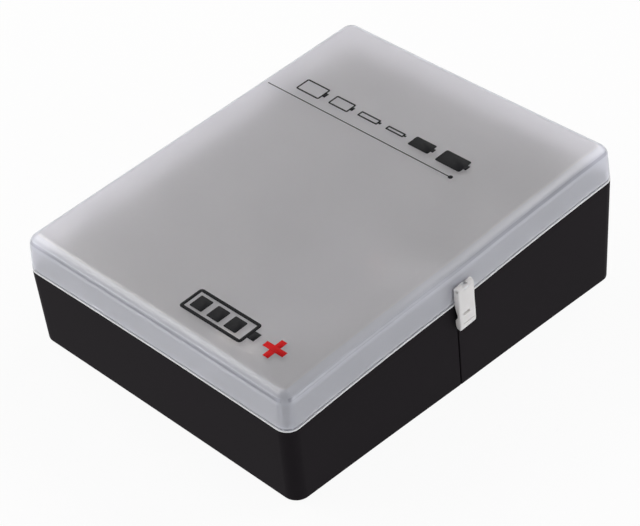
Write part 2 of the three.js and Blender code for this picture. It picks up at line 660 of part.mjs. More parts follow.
function makeNeedle() {
  const z0 = movement.top + fitGap + dial.thick + needle.lift;
  const stem = bar(movement.axle, [0, 0, movement.top - movement.axleDepth + fitGap - z0], 'z',
    z0 + needle.thick - movement.top + movement.axleDepth - fitGap);
  const pointer = plate([
    [-needle.width, -needle.width], [needle.width, -needle.width],
    [needle.width / 2, needle.length], [-needle.width / 2, needle.length],
  ], needle.width / 4, [0, needle.thick]);
  const mesh = finish('tester_needle', stem.add(pointer), '#c8281e', 0.5);
  mesh.position.set(pivot.x, pivot.y, z0);
  mesh.rotation.z = THREE.MathUtils.degToRad(needle.swing / 2);
  return mesh;
}

const resistor = { endInset: 9, length: 18, radius: 2.6 };

function makeTester() {
  const group = new THREE.Group();
  group.position.set(testerX, testerY, -tester.seat);
  const boardSolid = block(boardX, boardY, [board.z, board.z + board.thick]);
  const resistorX = (boardX[0] + boardX[1]) / 2;
  const resistorStart = [resistorX, boardY[0] + resistor.endInset, movementFoot + resistor.radius];
  const resistorSolid = bar(resistor.radius, resistorStart, 'y', resistor.length);
  const lensZ = [testerTop - windowFrame.lens, testerTop];
  const lens = block(grown(dialX, -fitGap), grown(dialY, -fitGap), lensZ);
  const fixedY = [headY - fitGap - contact.thick, headY - fitGap];
  const fixed = contactPlate(fixedY).add(contactTab([fixedY[0], headY + contact.tabIn], 0));
  const armStripY = [armFace + fitGap, armFace + fitGap + contact.thick];
  const armStrip = contactPlate(armStripY).add(contactTab([armFace - contact.tabIn, armStripY[1]], 0));
  const snapZ = testerTop + fitGap;
  const [socket, stud] = [[-1, blockContact.flange], [1, blockContact.stud]].map(([side, radius]) => {
    const place = [blockContactX + side * blockContact.spacing / 2, blockContactY];
    const head = bar(radius, [...place, snapZ], 'z', blockContact.height, 16);
    const stemLength = blockContact.stemLength + blockContact.height / 2;
    return head.add(bar(blockContact.stem, [...place, snapZ - blockContact.stemLength], 'z', stemLength));
  });
  group.add(
    greyPlastic('tester_case_back', makeTesterBack()),
    greyPlastic('tester_case_top', makeTesterTop()),
    finish('tester_window', lens, '#dfe6ea', 0.1, 0, 0.35),
    finish('tester_dial', makeDial(), '#f2f0e8', 0.7),
    finish('tester_movement', makeMovement(), '#56585c', 0.5),
    makeNeedle(),
    finish('tester_slide_arm', makeArm(), '#2a2a2d', 0.55),
    steel('tester_arm_spring', makeSpring()),
    steel('tester_arm_contact', armStrip),
    steel('tester_fixed_contact', fixed),
    steel('tester_block_socket', socket),
    steel('tester_block_stud', stud),
    finish('tester_circuit_board', boardSolid, '#2f6b3f', 0.6),
    finish('tester_load_resistor', resistorSolid, '#d9cdb4', 0.6),
  );
  screwPlaces.forEach(([x, y], i) => {
    const head = bar(screw.head, [0, 0, 0], 'z', screw.headHeight, 16);
    const shank = bar(screw.shank, [0, 0, 0], 'z', screwLength - fitGap, 10);
    const mesh = steel(`tester_case_screw_${i + 1}`, head.add(shank));
    mesh.position.set(x, y, screw.sink - screw.headHeight - fitGap);
    group.add(mesh);
  });
  return group;
}

rimFrame.add(
  blackPlastic('base_shell', makeBase()),
  frostedPlastic('lid_shell', makeLid()),
  blackPlastic('rear_tray', makeRearTray()),
  blackPlastic('side_tray', makeSideTray()),
  blackPlastic('tester_cradle', makeCradle()),
  makeTester(),
);

hingeCentres.forEach((y, i) => {
  const name = i === 0 ? 'hinge_pin_front' : 'hinge_pin_rear';
  const pin = steel(name, bar(hinge.pinRadius, [0, -hingeHalfSpan, 0], 'y', 2 * hingeHalfSpan));
  pin.position.set(hingeX, y, 0);
  rimFrame.add(pin);
});

const clipGroup = new THREE.Group();
clipGroup.position.set(caseWidth / 2, 0, 0);
const clipPin = bar(clip.pinRadius, [0, -clip.width / 2 + fitGap, 0], 'y', clip.width - 2 * fitGap);
const latchPin = steel('latch_pin', clipPin);
latchPin.position.set(clip.pivotOut, 0, clip.pivotUp);
clipGroup.add(finish('latch_clip', makeClip(), '#dcdad4', 0.4, 0, 0.9), latchPin);
rimFrame.add(clipGroup);

// The finished case stands on z = 0 with the origin under the middle of its box.
const part = new THREE.Group();
part.add(rimFrame);
part.updateMatrixWorld(true);
const extent = new THREE.Box3().setFromObject(part, true);
const centre = extent.getCenter(new THREE.Vector3());
rimFrame.position.set(-centre.x, -centre.y, -extent.min.z);
part.updateMatrixWorld(true);

export default part;
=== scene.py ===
import json
import math

import bmesh
import bpy
from mathutils import Euler, Matrix, Vector


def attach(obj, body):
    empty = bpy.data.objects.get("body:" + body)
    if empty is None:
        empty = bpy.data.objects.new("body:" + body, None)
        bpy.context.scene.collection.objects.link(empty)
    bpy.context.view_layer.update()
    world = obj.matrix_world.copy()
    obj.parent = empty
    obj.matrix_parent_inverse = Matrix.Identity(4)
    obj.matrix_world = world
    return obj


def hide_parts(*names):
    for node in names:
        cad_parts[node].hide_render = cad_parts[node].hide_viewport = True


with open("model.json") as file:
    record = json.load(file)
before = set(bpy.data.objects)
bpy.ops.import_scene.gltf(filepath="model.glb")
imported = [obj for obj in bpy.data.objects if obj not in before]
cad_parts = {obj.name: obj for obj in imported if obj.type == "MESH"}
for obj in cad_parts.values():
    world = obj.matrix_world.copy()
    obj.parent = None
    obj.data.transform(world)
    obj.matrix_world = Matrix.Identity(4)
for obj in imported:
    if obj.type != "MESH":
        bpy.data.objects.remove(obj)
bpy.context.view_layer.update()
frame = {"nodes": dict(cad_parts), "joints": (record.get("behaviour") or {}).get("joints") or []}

# The studio: a white table top that runs on as a white background, two high soft boxes to the left of the
# case and behind it, three low ones around its front, and a long lens that looks down on the case.
scene = bpy.context.scene
scene.view_settings.view_transform = "Standard"

camera_data = bpy.data.cameras.new("camera")
camera_data.sensor_width = 36.0
camera_data.lens = 117.964
camera = bpy.data.objects.new("camera", camera_data)
camera.location = (0.501018, -0.507307, 0.575449)
camera.rotation_euler = Euler([math.radians(angle) for angle in (52.264, 1.076, 44.0454)])
scene.collection.objects.link(camera)
scene.camera = camera


def shown_as_background(tree, lit, strength):
    """Adds a plain white to a lit surface or world, for the rays that look at it."""
    rays = tree.nodes.new("ShaderNodeLightPath")
    seen = tree.nodes.new("ShaderNodeMath")
    seen.operation = "MAXIMUM"
    either = tree.nodes.new("ShaderNodeMath")
    either.operation = "MAXIMUM"
    share = tree.nodes.new("ShaderNodeMath")
    share.operation = "MULTIPLY"
    share.inputs[1].default_value = strength
    white = tree.nodes.new("ShaderNodeEmission" if lit.type != "BACKGROUND" else "ShaderNodeBackground")
    white.inputs["Color"].default_value = (1, 1, 1, 1)
    white.inputs["Strength"].default_value = 1.0
    mix = tree.nodes.new("ShaderNodeMixShader")
    tree.links.new(rays.outputs["Is Camera Ray"], seen.inputs[0])
    tree.links.new(rays.outputs["Is Glossy Ray"], seen.inputs[1])
    tree.links.new(seen.outputs[0], either.inputs[0])
    tree.links.new(rays.outputs["Is Transmission Ray"], either.inputs[1])
    tree.links.new(either.outputs[0], share.inputs[0])
    tree.links.new(share.outputs[0], mix.inputs["Fac"])
    tree.links.new(lit.outputs[0], mix.inputs[1])
    tree.links.new(white.outputs[0], mix.inputs[2])
    return mix.outputs[0]


world = bpy.data.worlds.new("studio_room")
scene.world = world
world.use_nodes = True
room_tree = world.node_tree
room_light = room_tree.nodes["Background"]
room_light.inputs["Color"].default_value = (0.97, 0.98, 1.0, 1)
room_light.inputs["Strength"].default_value = 0.05
room_tree.links.new(
    shown_as_background(room_tree, room_light, 1.0), room_tree.nodes["World Output"].inputs["Surface"]
)

table_half_size = 4.0
table_mesh = bmesh.new()
bmesh.ops.create_grid(table_mesh, x_segments=1, y_segments=1, size=table_half_size)
table_data = bpy.data.meshes.new("table_top")
table_mesh.to_mesh(table_data)
table_mesh.free()
table_top = bpy.data.objects.new("table_top", table_data)
scene.collection.objects.link(table_top)
table_paint = bpy.data.materials.new("white_table")
table_paint.use_nodes = True
paint_tree = table_paint.node_tree
paint = paint_tree.nodes["Principled BSDF"]
paint.inputs["Base Color"].default_value = (0.86, 0.86, 0.86, 1)
paint.inputs["Roughness"].default_value = 0.9
paint.inputs["Specular IOR Level"].default_value = 0.0
paint_tree.links.new(
    shown_as_background(paint_tree, paint, 0.93), paint_tree.nodes["Material Output"].inputs["Surface"]
)
table_data.materials.append(table_paint)


def soft_box(name, place, target, width, height, watts, colour):
    """A wide lamp behind a diffuser, turned to a target."""
    light = bpy.data.lights.new(name, "AREA")
    light.shape = "RECTANGLE"
    light.size = width
    light.size_y = height
    light.energy = watts
    light.color = colour
    lamp = bpy.data.objects.new(name, light)
    lamp.location = place
    lamp.rotation_euler = (Vector(target) - Vector(place)).to_track_quat("-Z", "Y").to_euler()
    scene.collection.objects.link(lamp)


case_middle = (0, 0, 0.04)
warm = (1.0, 0.985, 0.96)
pale_cool = (0.95, 0.97, 1.0)
cool = (0.93, 0.96, 1.0)
soft_box("left_box", (-0.77, -0.28, 0.78), case_middle, 1.1, 0.5, 7.6, warm)
soft_box("back_box", (0.22, 0.81, 0.75), case_middle, 1.15, 0.45, 7.2, warm)
soft_box("low_left_box", (-0.92, -0.9, 0.24), case_middle, 0.9, 0.28, 4.2, pale_cool)
soft_box("low_front_box", (0.1, -1.35, 0.24), case_middle, 0.8, 0.36, 4.6, cool)
soft_box("low_right_box", (1.32, 0.34, 0.27), case_middle, 0.8, 0.35, 7.8, cool)

# The tub: one black polypropylene moulding with a fine spark-eroded texture. Its rim stands 4.7 degrees
# steeper than its foot, a low lip inside the rim finds the lid, and the wall under the clip has a sink line.
mm = 0.001
lid_hinge = next(joint for joint in frame["joints"] if joint["name"] == "lid_hinge")
rim_tilt = math.atan2(-lid_hinge["axis"][2], -lid_hinge["axis"][1])
hinge_out = 79.7 * mm
rim_middle = Vector(lid_hinge["pos_m"]) + Vector((hinge_out, 0, 0))
rim_place = Matrix.Translation(rim_middle) @ Matrix.Rotation(rim_tilt, 4, "X")

case_width = 154.6 * mm
case_length = 200 * mm
rim_corner = 6.4 * mm
seam_gap = 0.3 * mm
seam_drop = 0.25 * mm
tub_wall = 2.2 * mm
tub_draft = 0.6 * mm
tub_floor = 2 * mm
low_end_depth = 39.2 * mm
foot_round = 0.9 * mm
lip_setback = 1.2 * mm
lip_height = 1.2 * mm
side_bow = 0.5 * mm
end_bow = 0.5 * mm
bow_start = 0.8
foot_bow_share = 0.35
grain_depth = 0.03 * mm
mottle_scale = 28
shine_change = 0.05


def underside_at(y):
    """The height of the tub's sloping foot, measured from the rim's plane."""
    return -low_end_depth - math.tan(rim_tilt) * (y + case_length / 2)


def rounded_plate(width, length, corner, height, corner_steps=12, wall_parts=1):
    """One face with rounded corners, the start of a moulding. Returns the mesh and the face."""
    bm = bmesh.new()
    bmesh.ops.create_grid(bm, x_segments=1, y_segments=1, size=0.5)
    bmesh.ops.scale(bm, vec=(width, length, 1), verts=bm.verts)
    bmesh.ops.translate(bm, vec=(0, 0, height), verts=bm.verts)
    bmesh.ops.bevel(
        bm, geom=bm.verts[:], offset=corner, offset_type="OFFSET", segments=corner_steps, profile=0.5,
        affect="VERTICES", material=-1,
    )
    if wall_parts > 1:
        straight = [edge for edge in bm.edges if edge.calc_length() > 2 * corner]
        bmesh.ops.subdivide_edges(bm, edges=straight, cuts=wall_parts - 1)
    bm.faces.ensure_lookup_table()
    return bm, bm.faces[0]


def step_in(bm, face, steps):
    """Carries a face along its normal, ring by ring. Each step is (how far in, how far out)."""
    for inward, outward in steps:
        bmesh.ops.inset_individual(bm, faces=[face], thickness=inward, depth=outward, use_even_offset=True)


def draw_in(bm, face, draft):
    """Leans the last ring of wall inwards and leaves its corners as round as they are."""
    width, length = (2 * max(abs(vert.co[axis]) for vert in face.verts) for axis in (0, 1))
    bmesh.ops.scale(bm, vec=((width - 2 * draft) / width, (length - 2 * draft) / length, 1), verts=face.verts)


def close_ring(bm):
    """Fills the open ring of a moulding with a second face, and turns all faces outwards."""
    ring = [edge for edge in bm.edges if edge.is_boundary]
    face = bmesh.ops.holes_fill(bm, edges=ring)["faces"][0]
    bmesh.ops.recalc_face_normals(bm, faces=bm.faces)
    return face


def round_steps(radius, parts):
    """The steps of a quarter round that turns from a wall into a flat face."""
    angles = [math.pi / 2 * part / parts for part in range(parts + 1)]
    return [
        (radius * (math.cos(start) - math.cos(end)), radius * (math.sin(end) - math.sin(start)))
        for start, end in zip(angles, angles[1:])
    ]


def carve(bm, cutter):
    """Cuts a closed cutter out of a closed moulding and gives back what is left."""
    shapes = []
    for name, mesh in (("moulding", bm), ("cutter", cutter)):
        data = bpy.data.meshes.new(name)
        mesh.to_mesh(data)
        mesh.free()
        shapes.append(bpy.data.objects.new(name, data))
        scene.collection.objects.link(shapes[-1])
    cut = shapes[0].modifiers.new("cut", "BOOLEAN")
    cut.object = shapes[1]
    cut.solver = "EXACT"
    left = bmesh.new()
    left.from_object(shapes[0], bpy.context.evaluated_depsgraph_get())
    for shape in shapes:
        data = shape.data
        bpy.data.objects.remove(shape)
        bpy.data.meshes.remove(data)
    return left


def bow_walls(bm, at_foot=1.0, foot=-low_end_depth):
    """Draws the walls in a little between their corners, as a moulding does when it cools."""
    for vert in bm.verts:
        x, y, z = vert.co
        across = abs(x) / (case_width / 2)
        along = abs(y) / (case_length / 2)
        held = 1 - (1 - at_foot) * min(1, max(0, z / foot))
        side_share, end_share = (max(0, (reach - bow_start) / (1 - bow_start)) for reach in (across, along))
        if x > 0:
            vert.co.x -= side_bow * held * math.sin(math.pi * min(1, along)) * side_share
        pull = end_bow * held * math.cos(math.pi / 2 * min(1, across)) * end_share
        vert.co.y -= math.copysign(pull, y)


def placed_piece(name, bm, place=None):
    """Makes an object at the origin, with its place in its mesh and its curved faces smooth."""
    if place is not None:
        bmesh.ops.transform(bm, matrix=place, verts=bm.verts)
    for face in bm.faces:
        face.smooth = True
    data = bpy.data.meshes.new(name)
    bm.to_mesh(data)
    bm.free()
    piece = bpy.data.objects.new(name, data)
    scene.collection.objects.link(piece)
    return piece


def crisp(piece, sharp_angle=30):
    """Keeps flat faces flat beside small rounds."""
    piece.data.set_sharp_from_angle(angle=math.radians(sharp_angle))
    normals = piece.modifiers.new("flat_faces", "WEIGHTED_NORMAL")
    normals.keep_sharp = True
    normals.weight = 100


def plastic(name, colour, roughness, grain_size=0.35 * mm, grain=0.12, mottle=0.12, gloss=0.3, **inputs):
    """A moulded plastic: a fine texture from the tool, and slow changes of tone and shine over the wall."""
    material = bpy.data.materials.new(name)
    material.use_nodes = True
    tree = material.node_tree
    shader = tree.nodes["Principled BSDF"]
    place = tree.nodes.new("ShaderNodeTexCoord")
    fine = tree.nodes.new("ShaderNodeTexNoise")
    fine.inputs["Scale"].default_value = 1 / grain_size
    fine.inputs["Detail"].default_value = 3
    slow = tree.nodes.new("ShaderNodeTexNoise")
    slow.inputs["Scale"].default_value = mottle_scale
    slow.inputs["Detail"].default_value = 4
    tone = tree.nodes.new("ShaderNodeValToRGB")
    tone.color_ramp.elements[0].position = 0.3
    tone.color_ramp.elements[1].position = 0.7
    tone.color_ramp.elements[0].color = [channel * (1 - mottle) for channel in colour] + [1]
    tone.color_ramp.elements[1].color = [min(1, channel * (1 + mottle)) for channel in colour] + [1]
    shine = tree.nodes.new("ShaderNodeMapRange")
    shine.inputs["To Min"].default_value = roughness - shine_change
    shine.inputs["To Max"].default_value = roughness + shine_change
    bump = tree.nodes.new("ShaderNodeBump")
    bump.inputs["Strength"].default_value = grain
    bump.inputs["Distance"].default_value = grain_depth
    for texture in (fine, slow):
        tree.links.new(place.outputs["Object"], texture.inputs["Vector"])
    tree.links.new(slow.outputs["Fac"], tone.inputs["Fac"])
    tree.links.new(tone.outputs["Color"], shader.inputs["Base Color"])
    tree.links.new(slow.outputs["Fac"], shine.inputs["Value"])
    tree.links.new(shine.outputs["Result"], shader.inputs["Roughness"])
    tree.links.new(fine.outputs["Fac"], bump.inputs["Height"])
    tree.links.new(bump.outputs["Normal"], shader.inputs["Normal"])
    shader.inputs["Specular IOR Level"].default_value = gloss
    for socket, value in inputs.items():
        shader.inputs[socket.replace("_", " ")].default_value = value
    return material


tub_top = -seam_gap / 2 - seam_drop
tub_bm, tub_foot = rounded_plate(case_width, case_length, rim_corner, tub_top, wall_parts=24)
step_in(tub_bm, tub_foot, [(0, -low_end_depth)])
draw_in(tub_bm, tub_foot, tub_draft)
foot_rings = [tub_foot.verts[:]]
for inward, rise in round_steps(foot_round, 4):
    step_in(tub_bm, tub_foot, [(inward, -rise)])
    foot_rings.append(tub_foot.verts[:])
flat_foot = tub_foot.verts[0].co.z
tub_rim = close_ring(tub_bm)
lip_rise = lip_height - tub_top
step_in(tub_bm, tub_rim, [(lip_setback, 0), (0, lip_rise), (tub_wall - lip_setback, 0), (0, -lip_rise)])
step_in(tub_bm, tub_rim, [(0, -low_end_depth)])
draw_in(tub_bm, tub_rim, tub_draft)
bow_walls(tub_bm, foot_bow_share)
for vert in {vert for foot_ring in foot_rings for vert in foot_ring}:
    vert.co.z += underside_at(vert.co.y) - flat_foot
for vert in tub_rim.verts:
    vert.co.z = underside_at(vert.co.y) + tub_floor

# Its groove: the sink line under the clip, a wedge that narrows towards the foot.
groove_top = -7 * mm
groove_foot = -50 * mm
groove_depth = 0.7 * mm
groove_top_y = (-4.6 * mm, -2.2 * mm)
groove_foot_y = (-2.0 * mm, -1.6 * mm)
groove_bm = bmesh.new()
groove_ends = []
for height, (left, right) in ((groove_top, groove_top_y), (groove_foot, groove_foot_y)):
    outside_x = case_width / 2 + tub_wall
    deepest_x = case_width / 2 - groove_depth - tub_draft * height / -low_end_depth
    deepest_y = right - (right - left) / 3
    corners = [(outside_x, left - tub_wall), (deepest_x, deepest_y), (outside_x, right + tub_wall / 2)]
    groove_ends.append(groove_bm.faces.new([groove_bm.verts.new((x, y, height)) for x, y in corners]))
groove_loops = [edge for end in groove_ends for edge in end.edges]
bmesh.ops.bridge_loops(groove_bm, edges=groove_loops)
bmesh.ops.recalc_face_normals(groove_bm, faces=groove_bm.faces)
tub_bm = carve(tub_bm, groove_bm)

hinge_spread = 58 * mm
hinge_radius = 2 * mm
hinge_bore = 1.1 * mm
lid_knuckle = 8 * mm
tub_knuckle = 5 * mm
knuckle_gap = 0.3 * mm
web_start = 1.3 * mm
web_overlap = 0.1 * mm


def ring_bar(bm, inner, outer, middle, length, steps=32):
    """Adds a tube along Y, spun from the outline of its wall."""
    corners = [(inner, -1), (outer, -1), (outer, 1), (inner, 1)]
    verts = [
        bm.verts.new((middle[0] + radius, middle[1] + side * length / 2, middle[2]))
        for radius, side in corners
    ]
    outline = [bm.edges.new((verts[number - 1], verts[number])) for number in range(len(verts))]
    bmesh.ops.spin(
        bm, geom=verts + outline, cent=middle, axis=(0, 1, 0), angle=2 * math.pi, steps=steps, use_merge=True,
    )


def block(bm, x, y, z):
    """Adds a box between two values on each axis."""
    size = Matrix.Diagonal((x[1] - x[0], y[1] - y[0], z[1] - z[0], 1))
    middle = Matrix.Translation(((x[0] + x[1]) / 2, (y[0] + y[1]) / 2, (z[0] + z[1]) / 2))
    bmesh.ops.create_cube(bm, size=1, matrix=middle @ size)


def knuckle(bm, middle_y, length, web_z):
    """Adds one hinge eye and the web that joins it to the wall."""
    ring_bar(bm, hinge_bore, hinge_radius, (-hinge_out, middle_y, 0), length)
    web_x = (-hinge_out + web_start, -case_width / 2 + web_overlap)
    block(bm, web_x, (middle_y - length / 2, middle_y + length / 2), web_z)


for hinge_y in (-hinge_spread, hinge_spread):
    for side in (-1, 1):
        knuckle_y = hinge_y + side * (lid_knuckle / 2 + knuckle_gap + tub_knuckle / 2)
        knuckle(tub_bm, knuckle_y, tub_knuckle, (-hinge_radius, -seam_gap))

bead_half_width = 4.5 * mm
bead_outline = [(-0.5, -2.9), (0, -2.9), (1.1, -4.2), (1.1, -5.6), (0, -6.4), (-0.5, -6.4)]


def bar_along_y(bm, outline, y):
    """Adds a bar whose section is an outline of (x, z) points, drawn from one y to another."""
    face = bm.faces.new([bm.verts.new((x, y[0], z)) for x, z in outline])
    end = bmesh.ops.extrude_face_region(bm, geom=[face])["geom"]
    end_verts = [item for item in end if isinstance(item, bmesh.types.BMVert)]
    bmesh.ops.translate(bm, vec=(0, y[1] - y[0], 0), verts=end_verts)


catch = [(case_width / 2 + x * mm, z * mm) for x, z in bead_outline]
bar_along_y(tub_bm, catch, (-bead_half_width, bead_half_width))
bmesh.ops.recalc_face_normals(tub_bm, faces=tub_bm.faces)
tub = placed_piece("tub", tub_bm, rim_place)
tub.data.materials.append(plastic("black_tub", (0.0088, 0.007, 0.0086), 0.6, gloss=0.04))
crisp(tub)
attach(tub, "base")
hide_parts("base_shell")

# The lid: one frosted moulding of natural polypropylene with a soft shoulder all round.
# A rebate in its edge closes over the tub's lip, and a thin bead runs round that edge under a fine groove.
lid_height = 17.72 * mm
lid_wall = 1.8 * mm
lid_draft = 0.85 * mm
lid_shoulder = 5.7 * mm
lid_edge = 0.9 * mm
rebate_height = 1.5 * mm
edge_bead = 0.65 * mm
edge_bead_out = 0.25 * mm
bead_groove_depth = 0.25 * mm
bead_groove_height = 0.5 * mm
groove_ledge = 0.05 * mm
under_margin = 0.5 * mm
height_slack = 0.01 * mm
flat_parts = 16

lid_foot = seam_gap / 2 - seam_drop
lid_bm, lid_face = rounded_plate(case_width, case_length, rim_corner, lid_foot)
wall_start = lid_foot + edge_bead + bead_groove_height + groove_ledge
thin_rise = rebate_height - wall_start
wall_rise = lid_height - lid_shoulder - wall_start
step_in(lid_bm, lid_face, [(0, edge_bead), (edge_bead_out + bead_groove_depth, 0), (0, bead_groove_height)])
step_in(lid_bm, lid_face, [(0, groove_ledge)])
draw_in(lid_bm, lid_face, -bead_groove_depth)
step_in(lid_bm, lid_face, [(0, thin_rise), (0, wall_rise - thin_rise)])
draw_in(lid_bm, lid_face, lid_draft - edge_bead_out)
step_in(lid_bm, lid_face, round_steps(lid_shoulder, 12))
lid_under = close_ring(lid_bm)
rebate_rise = rebate_height - lid_foot
step_in(lid_bm, lid_under, [(lid_edge, 0), (0, -rebate_rise), (lid_wall - lid_edge, 0)])
step_in(lid_bm, lid_under, [(0, -(lid_height - lid_shoulder - rebate_height))])
draw_in(lid_bm, lid_under, lid_draft)
inner_shoulder = [(inward, -rise) for inward, rise in round_steps(lid_shoulder - lid_wall, 10)]
step_in(lid_bm, lid_under, inner_shoulder)
step_in(lid_bm, lid_under, [(under_margin, 0)])
for axis, size in ((0, case_width), (1, case_length)):
    for part in range(1, flat_parts):
        middle = Vector((0, 0, 0))
        middle[axis] = size * (part / flat_parts - 0.5)
        normal = Vector((0, 0, 0))
        normal[axis] = 1
        everything = lid_bm.verts[:] + lid_bm.edges[:] + lid_bm.faces[:]
        bmesh.ops.bisect_plane(lid_bm, geom=everything, plane_co=middle, plane_no=normal)
bow_walls(lid_bm)
bead_top = lid_foot + edge_bead + height_slack
thick_faces = [face for face in lid_bm.faces if all(vert.co.z < bead_top for vert in face.verts)]
thin_faces = set(lid_bm.faces)

# Its frost carries painted light, chosen face by face from each face's slope and its angle to the corner. A
# painted highlight line, whiter and less clear, runs low on the shoulder and down each side of every corner.
# A band of painted shade, darker and clearer, lies above that line and where the rebate thins the wall. A
# painted cool cast, bluer and whiter than the top, covers the rest of the shoulder and walls.
thick_edge, painted_cool_side, painted_highlight_line, painted_shade_band = 1, 2, 3, 4
highlight_share = (0.15, 0.4)
shade_share = (0.4, 0.6)
flat_top = 0.98
corner_highlight = (math.radians(15), math.radians(23))
for face in thin_faces:
    upward = face.normal.z
    x, y, z = face.calc_center_median()
    outward = face.normal.x * x + face.normal.y * y > 0
    if not outward or upward < 0 or upward > flat_top or face in thick_faces:
        continue
    off_corner = abs(math.atan2(abs(face.normal.y), abs(face.normal.x)) - math.pi / 4)
    # The faces down each side of every corner get the painted highlight line, as do the low faces of the
    # shoulder.
    on_corner_highlight = corner_highlight[0] < off_corner < corner_highlight[1] and upward < highlight_share[0]
    if on_corner_highlight or highlight_share[0] < upward < highlight_share[1]:
        face.material_index = painted_highlight_line
    # A band of painted shade, darker and clearer, above the highlight line and where the rebate thins the
    # wall.
    elif z < rebate_height or off_corner > corner_highlight[0] and shade_share[0] < upward < shade_share[1]:
        face.material_index = painted_shade_band
    else:
        # The rest of the shoulder and walls get a painted cool cast, bluer and whiter than the top.
        face.material_index = painted_cool_side

# Its lug: the eye for the clip's pin, the web that carries it, and a root on the wall behind the clip's slot.
pivot_out = 1.7 * mm
pivot_x = case_width / 2 + pivot_out
pivot_z = 7.8 * mm
pivot_middle = (pivot_x, 0, pivot_z)
lug_radius = 0.9 * mm
lug_bore = 0.5 * mm
lug_width = 2.8 * mm
lug_sink = 0.5 * mm
root_out = 0.1 * mm
root_rise = 0.8 * mm
root_setback = 0.05 * mm
ring_bar(lid_bm, lug_bore, lug_radius, pivot_middle, lug_width)
lug_x = (case_width / 2 - lug_sink, pivot_x - lug_bore)
lug_z = (pivot_z - lug_radius / 2, pivot_z + lug_radius / 2)
block(lid_bm, lug_x, (-lug_width / 2, lug_width / 2), lug_z)
root_x = (lug_x[0], case_width / 2 + root_out)
root_z = (lug_z[0] + root_setback, pivot_z + root_rise)
block(lid_bm, root_x, (-lug_width / 2 + root_setback, lug_width / 2 - root_setback), root_z)
for hinge_y in (-hinge_spread, hinge_spread):
    knuckle(lid_bm, hinge_y, lid_knuckle, (seam_gap, hinge_radius))
bmesh.ops.recalc_face_normals(lid_bm, faces=lid_bm.faces)
thick_faces += [face for face in lid_bm.faces if face not in thin_faces]
for face in thick_faces:
    face.material_index = thick_edge
lid = placed_piece("lid", lid_bm, rim_place)


def frost(name, colour, clearness):
    """Natural polypropylene with a dull mould texture, which lets a share of the light through."""
    return plastic(
        name, colour, 0.39, grain=0.2, mottle=0.02, gloss=0.2, Transmission_Weight=clearness, IOR=1.49,
        Coat_Weight=0.6, Coat_Roughness=0.25,
    )


frosted_edge = plastic(
    "frosted_lid_edge", (0.86, 0.86, 0.87), 0.4, grain=0.1, mottle=0.02, gloss=0.5,
    Transmission_Weight=0.1, IOR=1.49,
)
# A painted cool cast for the walls, shoulder and highlight line, bluer than the lid's own frost.
painted_cool_tint = (0.85, 0.86, 0.935)
# A painted shade for the band above the highlight line, darker than the lid's own frost.
painted_shade_tint = (0.56, 0.57, 0.66)
lid.data.materials.append(frost("frosted_lid", (0.92, 0.905, 0.935), 0.88))
lid.data.materials.append(frosted_edge)
lid.data.materials.append(frost("frosted_lid_painted_cool_side", painted_cool_tint, 0.74))
lid.data.materials.append(frost("frosted_lid_painted_highlight", painted_cool_tint, 0.64))
lid.data.materials.append(frost("frosted_lid_painted_shade", painted_shade_tint, 0.88))
crisp(lid)
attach(lid, "lid")
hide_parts("lid_shell")

# The prints: two passes of pad-printed ink on the lid, black and a little red, a few hundredths of a
# millimetre thick. They show a row of plain cells over a rule, and a charged battery with a plus sign.
ink_lift = 0.02 * mm
ink_height = lid_height + ink_lift
ink_thickness = 0.03 * mm
black_ink_bm = bmesh.new()
red_ink_bm = bmesh.new()


def ink_patch(bm, x, y, corner=0.0, line=None):
    """Adds a flat patch of ink, filled or as an outline of one line's width."""
    patch = bmesh.new()
    bmesh.ops.create_grid(patch, x_segments=1, y_segments=1, size=0.5)
    bmesh.ops.scale(patch, vec=((x[1] - x[0]), (y[1] - y[0]), 1), verts=patch.verts)
    middle = ((x[0] + x[1]) / 2, (y[0] + y[1]) / 2, ink_height)
    bmesh.ops.translate(patch, vec=middle, verts=patch.verts)
    if corner:
        bmesh.ops.bevel(
            patch, geom=patch.verts[:], offset=corner, offset_type="OFFSET", segments=5, profile=0.5,
            affect="VERTICES", material=-1,
        )
    patch.faces.ensure_lookup_table()
    if line:
        inside = patch.faces[0]
        bmesh.ops.inset_individual(patch, faces=[inside], thickness=line, use_even_offset=True)
        bmesh.ops.delete(patch, geom=[inside], context="FACES_ONLY")
    carrier = bpy.data.meshes.new("ink_patch")
    patch.to_mesh(carrier)
    patch.free()
    bm.from_mesh(carrier)
    bpy.data.meshes.remove(carrier)


def ink_battery(start, length, thickness, line=None):
    """A cell on its side, its cap to the right."""
    x, y = start
    cap_length = 0.09 * length
    cap_width = 0.36 * thickness
    corner = 0.12 * thickness
    cap_x = x + length - cap_length
    ink_patch(black_ink_bm, (x, cap_x), (y - thickness / 2, y + thickness / 2), corner, line)
    ink_patch(black_ink_bm, (cap_x, x + length), (y - cap_width / 2, y + cap_width / 2))


thin_line = 0.8 * mm
row_y = 48.4 * mm
row_gap = 3.6 * mm
cells_in_row = [
    (15.2, 8.4, thin_line), (12.6, 6.5, thin_line), (12.6, 3.6, thin_line), (11.0, 2.7, thin_line),
    (12.6, 6.6, None), (15.2, 8.4, None),
]
cell_x = -58 * mm
for length, thickness, line in cells_in_row:
    ink_battery((cell_x, row_y), length * mm, thickness * mm, line)
    cell_x += length * mm + row_gap
rule_x = (-70.5 * mm, 36.5 * mm)
rule_y = (39.3 * mm, 39.8 * mm)
ink_patch(black_ink_bm, rule_x, rule_y)
dot_x = (36.0 * mm, 38.2 * mm)
dot_y = (38.5 * mm, 40.7 * mm)
dot_corner = 1.0 * mm
ink_patch(black_ink_bm, dot_x, dot_y, dot_corner)

